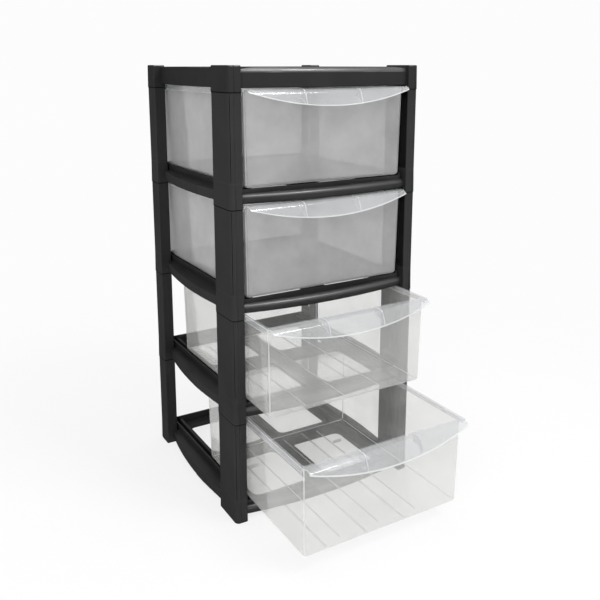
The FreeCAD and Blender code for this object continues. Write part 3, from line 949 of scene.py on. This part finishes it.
    def stop(self, side: int) -> bpy.types.Object:
        """Model one stop lug under the floor.

        Args:
            side: -1 for the left one, 1 for the right one.

        Returns:
            The lug, in its place.
        """
        sizes = self.lug
        x, y = sizes.place
        low = Vector((side * x - sizes.width / 2, y, self.lowest))
        block = Bench.block("lug", low, low + Vector((sizes.width, sizes.thickness,
                                                      sizes.depth + sizes.bite)))
        Bench.modify(block, "BEVEL", width=sizes.rounding, segments=2)
        return block

    def fittings(self, plastics: list[bpy.types.Material]) -> list[bpy.types.Object]:
        """Model what joins onto the tub: webs, lugs, the floor's ribs, and beside each rib a faint
        strip that paints its shadow line.

        Args:
            plastics: The drawer's finishes, in the order of Slot.

        Returns:
            The pieces, each with its finish.
        """
        pieces = []
        for side in (-1, 1):
            pieces += [(self.web(side), Slot.RIM), (self.stop(side), Slot.RIM)]
        for index in (-1, 0, 1):
            x = index * self.floor_half / 2
            # Each rib has a hazy strip beside it, a painted shadow line.
            pieces += [(self.strip(x, self.rib), Slot.RIM),
                       (self.strip(x - self.rib_shadow_offset, self.rib_shadow), Slot.STRIP)]
        for piece, slot in pieces:
            piece.data.materials.append(plastics[slot])
        return [piece for piece, _ in pieces]

    def is_corner(self, middle: Vector, normal: Vector) -> bool:
        """Say if a face of the tub lies in the bend between two walls, or a wall and the floor.

        Args:
            middle: The face's middle.
            normal: Its normal, which has two large parts in such a bend.

        Returns:
            True if it does.
        """
        below_rim = self.corner / 10
        in_tub = (middle.z < self.skin_z - below_rim and middle.y > self.front_rim - TINY
                  and abs(middle.x) < self.wall_half + TINY)
        return in_tub and sorted(abs(part) for part in normal)[1] > self.corner_band

    def is_rim(self, middle: Vector, normal: Vector) -> bool:
        """Say if a face belongs to the flange, the skirt or the lip.

        Args:
            middle: The face's middle.
            normal: Its normal, which doesn't matter here.

        Returns:
            True if it does.
        """
        margin = self.flange / 4
        return (middle.z > self.skin_z - TINY or abs(middle.x) > self.wall_half + margin
                or middle.y > self.rear_rim + margin or middle.y < self.front_rim - TINY)

    def is_lip_edge(self, middle: Vector, normal: Vector) -> bool:
        """Say if a face lies on the lip, no higher than the line scored above its lower edge.

        Args:
            middle: The face's middle.
            normal: Its normal, which doesn't matter here.

        Returns:
            True if it does.
        """
        centre, radius = self.lip_arc()
        off_arc = math.hypot(middle.x, middle.z - centre) - radius
        return (middle.y < self.front_rim - self.wall and middle.z < self.rim_z - self.wall
                and -self.lip_bead < off_arc < self.lip_edge_slack)

    def model(self, plastics: list[bpy.types.Material]) -> bpy.types.Object:
        """Model the whole drawer.

        Args:
            plastics: Its finishes, in the order of Slot.

        Returns:
            The pattern that the four drawers are copied from.
        """
        body = self.tub()
        for plastic in plastics:
            body.data.materials.append(plastic)
        self.rim(body)
        self.lip(body)
        Bench.done(body)
        Bench.paint(body, Slot.BEND, self.is_corner)
        Bench.paint(body, Slot.RIM, self.is_rim)
        base = self.floor_z + TINY
        Bench.face_out(body, lambda middle, normal: normal.z < 0 if middle.z < base else None)
        Bench.modify(body, "SOLIDIFY", thickness=self.wall, offset=-1.0, use_even_offset=True,
                     use_quality_normals=True)
        self.trim(body)
        body = self.score(body, Slot.CUT)
        Bench.paint(body, Slot.CUT, self.is_lip_edge)
        body = Bench.join([body, *self.fittings(plastics)])
        Bench.smooth(body)
        return body


WALLS = DrawerPlastic("clear_polypropylene", tint=(0.99, 0.99, 0.987), haze=0.175,
                      grazing_haze=0.12, milk=(0.94, 0.945, 0.93))
# Darker, greyer copy of the same clear plastic: painted shade of the closed drawers inside the frame.
SHADED_WALLS = DrawerPlastic("shaded_polypropylene", tint=(0.79, 0.79, 0.79), haze=0.32,
                            grazing_haze=0.7, milk=(0.81, 0.81, 0.81), scuffs=0.008)
# Much hazier plastic on the rounded bends between walls, and between wall and floor: painted highlight,
# drawing the bright lines that light makes along them.
BENDS = DrawerPlastic("drawer_bend_polypropylene", tint=(0.95, 0.955, 0.955), haze=0.75,
                      milk=(0.95, 0.955, 0.955), through=0.4)
RIMS = DrawerPlastic("drawer_rim_polypropylene", tint=(0.93, 0.935, 0.94), haze=0.17, scuffs=0.005,
                     milk=(0.86, 0.87, 0.88), edge_highlight_haze=0.75, edge_radius=0.0012,
                     waviness=0.08, shine=0.05, rough=0.16)
# Paler, hazier copy of the rim plastic: painted light on the lips of the closed drawers, which face the
# lamps above.
LIT_RIMS = replace(RIMS, name="lit_rim_polypropylene", tint=(0.955, 0.96, 0.965), haze=0.20,
                    milk=(0.91, 0.92, 0.93))
# Haze of the strips that draw the painted shadow line beside each rib.
STRIPS = DrawerPlastic("drawer_strip_polypropylene", tint=(0.95, 0.95, 0.95), haze=0.12)
# Hazy band along the lip's lower edge: painted highlight for the bright line that light piped through
# the plastic makes there.
CUTS = DrawerPlastic("drawer_cut_polypropylene", tint=(0.96, 0.965, 0.97), haze=0.5,
                     milk=(0.90, 0.91, 0.92), waviness=0.1)


@dataclass
class DrawerStack:
    """The four drawers, each in the place of its own solid. The upper two, closed inside the frame,
    take a darker copy of the wall plastic as painted shade, and a paler copy of the rim plastic as
    painted light.
    """

    count: int = 4
    first_shaded: int = 3
    pattern: Drawer = Drawer()

    def build(self) -> None:
        """Model one drawer and copy it to each tier."""
        walls, shaded_walls = WALLS.build(), SHADED_WALLS.build()
        bends = BENDS.build()
        rims, lit_rims = RIMS.build(), LIT_RIMS.build()
        master = self.pattern.model([walls, bends, rims, STRIPS.build(), CUTS.build()])
        for number in range(1, self.count + 1):
            node = f"drawer_{number}"
            low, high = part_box(node)
            step = Vector((0.0, high.y - self.pattern.rearmost, low.z - self.pattern.lowest))
            drawer = Bench.copy(master, f"clear_{node}", step)
            # The closed drawers take the painted shade on their walls and the painted light on their
            # lips.
            if number >= self.first_shaded:
                drawer.data.materials[Slot.WALL] = shaded_walls
                drawer.data.materials[Slot.RIM] = lit_rims
            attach(drawer, node)
            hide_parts(node)
            log.info("%s: %d faces", drawer.name, len(drawer.data.polygons))
        Bench.discard(master)


@dataclass
class Carcass:
    """The black frame: shelves, uprights and closed top, as imported."""

    finish: FramePlastic = FramePlastic()
    # Lit copy of the frame plastic for the top: stronger painted highlight on the rail's shoulders,
    # less sheen on its flat faces.
    lit_top_finish: FramePlastic = FramePlastic(name="lit_top_polypropylene", shine=0.008, highlight_shine=0.12,
                                           highlight_from=0.67, highlight_full=0.77)

    def dress(self) -> None:
        """Give every solid of the frame its finish. The top gets a lit copy, with a stronger painted
        highlight on its rail and less sheen on its flats; the shelves' weaker highlight stands for the
        shade under the drawers.
        """
        plastic, lit_top_plastic = self.finish.build(), self.lit_top_finish.build()
        for name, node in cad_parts.items():
            if name.startswith("drawer"):
                continue
            for slot in node.material_slots:
                slot.material = lit_top_plastic if name == "top_frame" else plastic
            log.info("%s: dressed", name)


@dataclass(frozen=True)
class Softbox:
    """A rectangular lamp: where it hangs, what it faces, its width and height, and its watts."""

    name: str
    place: Point
    aim: Point
    size: tuple[float, float]
    power: float

    def hang(self) -> None:
        """Add the lamp to the scene."""
        Bench.clear()
        bpy.ops.object.light_add(type="AREA", location=self.place)
        lamp = bpy.context.active_object
        lamp.name = self.name
        lamp.data.shape = "RECTANGLE"
        lamp.data.size, lamp.data.size_y = self.size
        lamp.data.energy = self.power
        way = Vector(self.aim) - Vector(self.place)
        lamp.rotation_euler = way.to_track_quat("-Z", "Y").to_euler()


@dataclass
class Studio:
    """Floor, light and camera."""

    camera_place: Point = (-0.7119, -1.2967, 0.820)
    camera_turn: float = 30.558
    camera_pitch: float = 11.777
    focal: float = 743.3
    centre: tuple[float, float] = (300.0, 220.0)
    image_size: float = 600.0
    sensor: float = 36.0
    paper: StudioPaper = StudioPaper()
    paper_size: float = 24.0
    paper_drop: float = 0.0002
    surround_light: float = 0.5
    clear_layers: int = 64
    lamps: tuple[Softbox, ...] = (
        Softbox("key_softbox", (1.0, -1.9, 3.1), (0.0, -0.2, 0.6), (1.1, 0.8), 52.0),
        Softbox("left_softbox", (-1.9, -2.2, 1.9), (0.0, 0.0, 0.4), (1.2, 1.2), 32.0),
        Softbox("top_softbox", (0.0, 0.2, 2.9), (0.0, 0.0, 0.5), (1.8, 1.8), 24.0))

    def floor(self) -> None:
        """Lay the paper that the tower stands on."""
        Bench.clear()
        bpy.ops.mesh.primitive_plane_add(size=self.paper_size, location=(0.0, 0.0, -self.paper_drop))
        paper = bpy.context.active_object
        paper.name = "studio_floor"
        Bench.settle(paper)
        paper.data.materials.append(self.paper.build())

    def world(self) -> None:
        """White surroundings, which light the tower at a lower level than they show."""
        world = bpy.data.worlds.new("studio")
        bpy.context.scene.world = world
        world.use_nodes = True
        tree = world.node_tree
        background = tree.nodes["Background"]
        background.inputs["Color"].default_value = (1.0, 1.0, 1.0, 1.0)
        path = tree.nodes.new("ShaderNodeLightPath")
        seen = path.outputs["Is Camera Ray"]
        for kind in ("Is Glossy Ray", "Is Transmission Ray"):
            either = tree.nodes.new("ShaderNodeMath")
            either.operation, either.use_clamp = "ADD", True
            tree.links.new(seen, either.inputs[0])
            tree.links.new(path.outputs[kind], either.inputs[1])
            seen = either.outputs[0]
        level = tree.nodes.new("ShaderNodeMapRange")
        level.inputs["To Min"].default_value = self.surround_light
        level.inputs["To Max"].default_value = self.paper.white
        tree.links.new(seen, level.inputs["Value"])
        tree.links.new(level.outputs[0], background.inputs["Strength"])

    def camera(self) -> None:
        """Set the camera. Its lens is shifted, and its given place was solved from the tower's corners.
        """
        Bench.clear()
        turn, pitch = math.radians(self.camera_turn), math.radians(self.camera_pitch)
        bpy.ops.object.camera_add(location=self.camera_place,
                                  rotation=(math.pi / 2 - pitch, 0.0, -turn))
        camera = bpy.context.active_object
        camera.data.sensor_width = self.sensor
        camera.data.lens = self.focal / self.image_size * self.sensor
        camera.data.shift_x = (self.image_size / 2 - self.centre[0]) / self.image_size
        camera.data.shift_y = (self.centre[1] - self.image_size / 2) / self.image_size
        bpy.context.scene.camera = camera

    def build(self) -> None:
        """Set up the whole studio."""
        scene = bpy.context.scene
        scene.view_settings.view_transform = "Standard"
        scene.cycles.transparent_max_bounces = self.clear_layers
        self.floor()
        self.world()
        for lamp in self.lamps:
            lamp.hang()
        self.camera()


def main() -> None:
    """Build the studio, the frame and the drawers in order."""
    logging.basicConfig(level=logging.INFO, format="%(name)s: %(message)s")
    Studio().build()
    Carcass().dress()
    DrawerStack().build()
    Bench.clear()


if __name__ == "__main__":
    main()
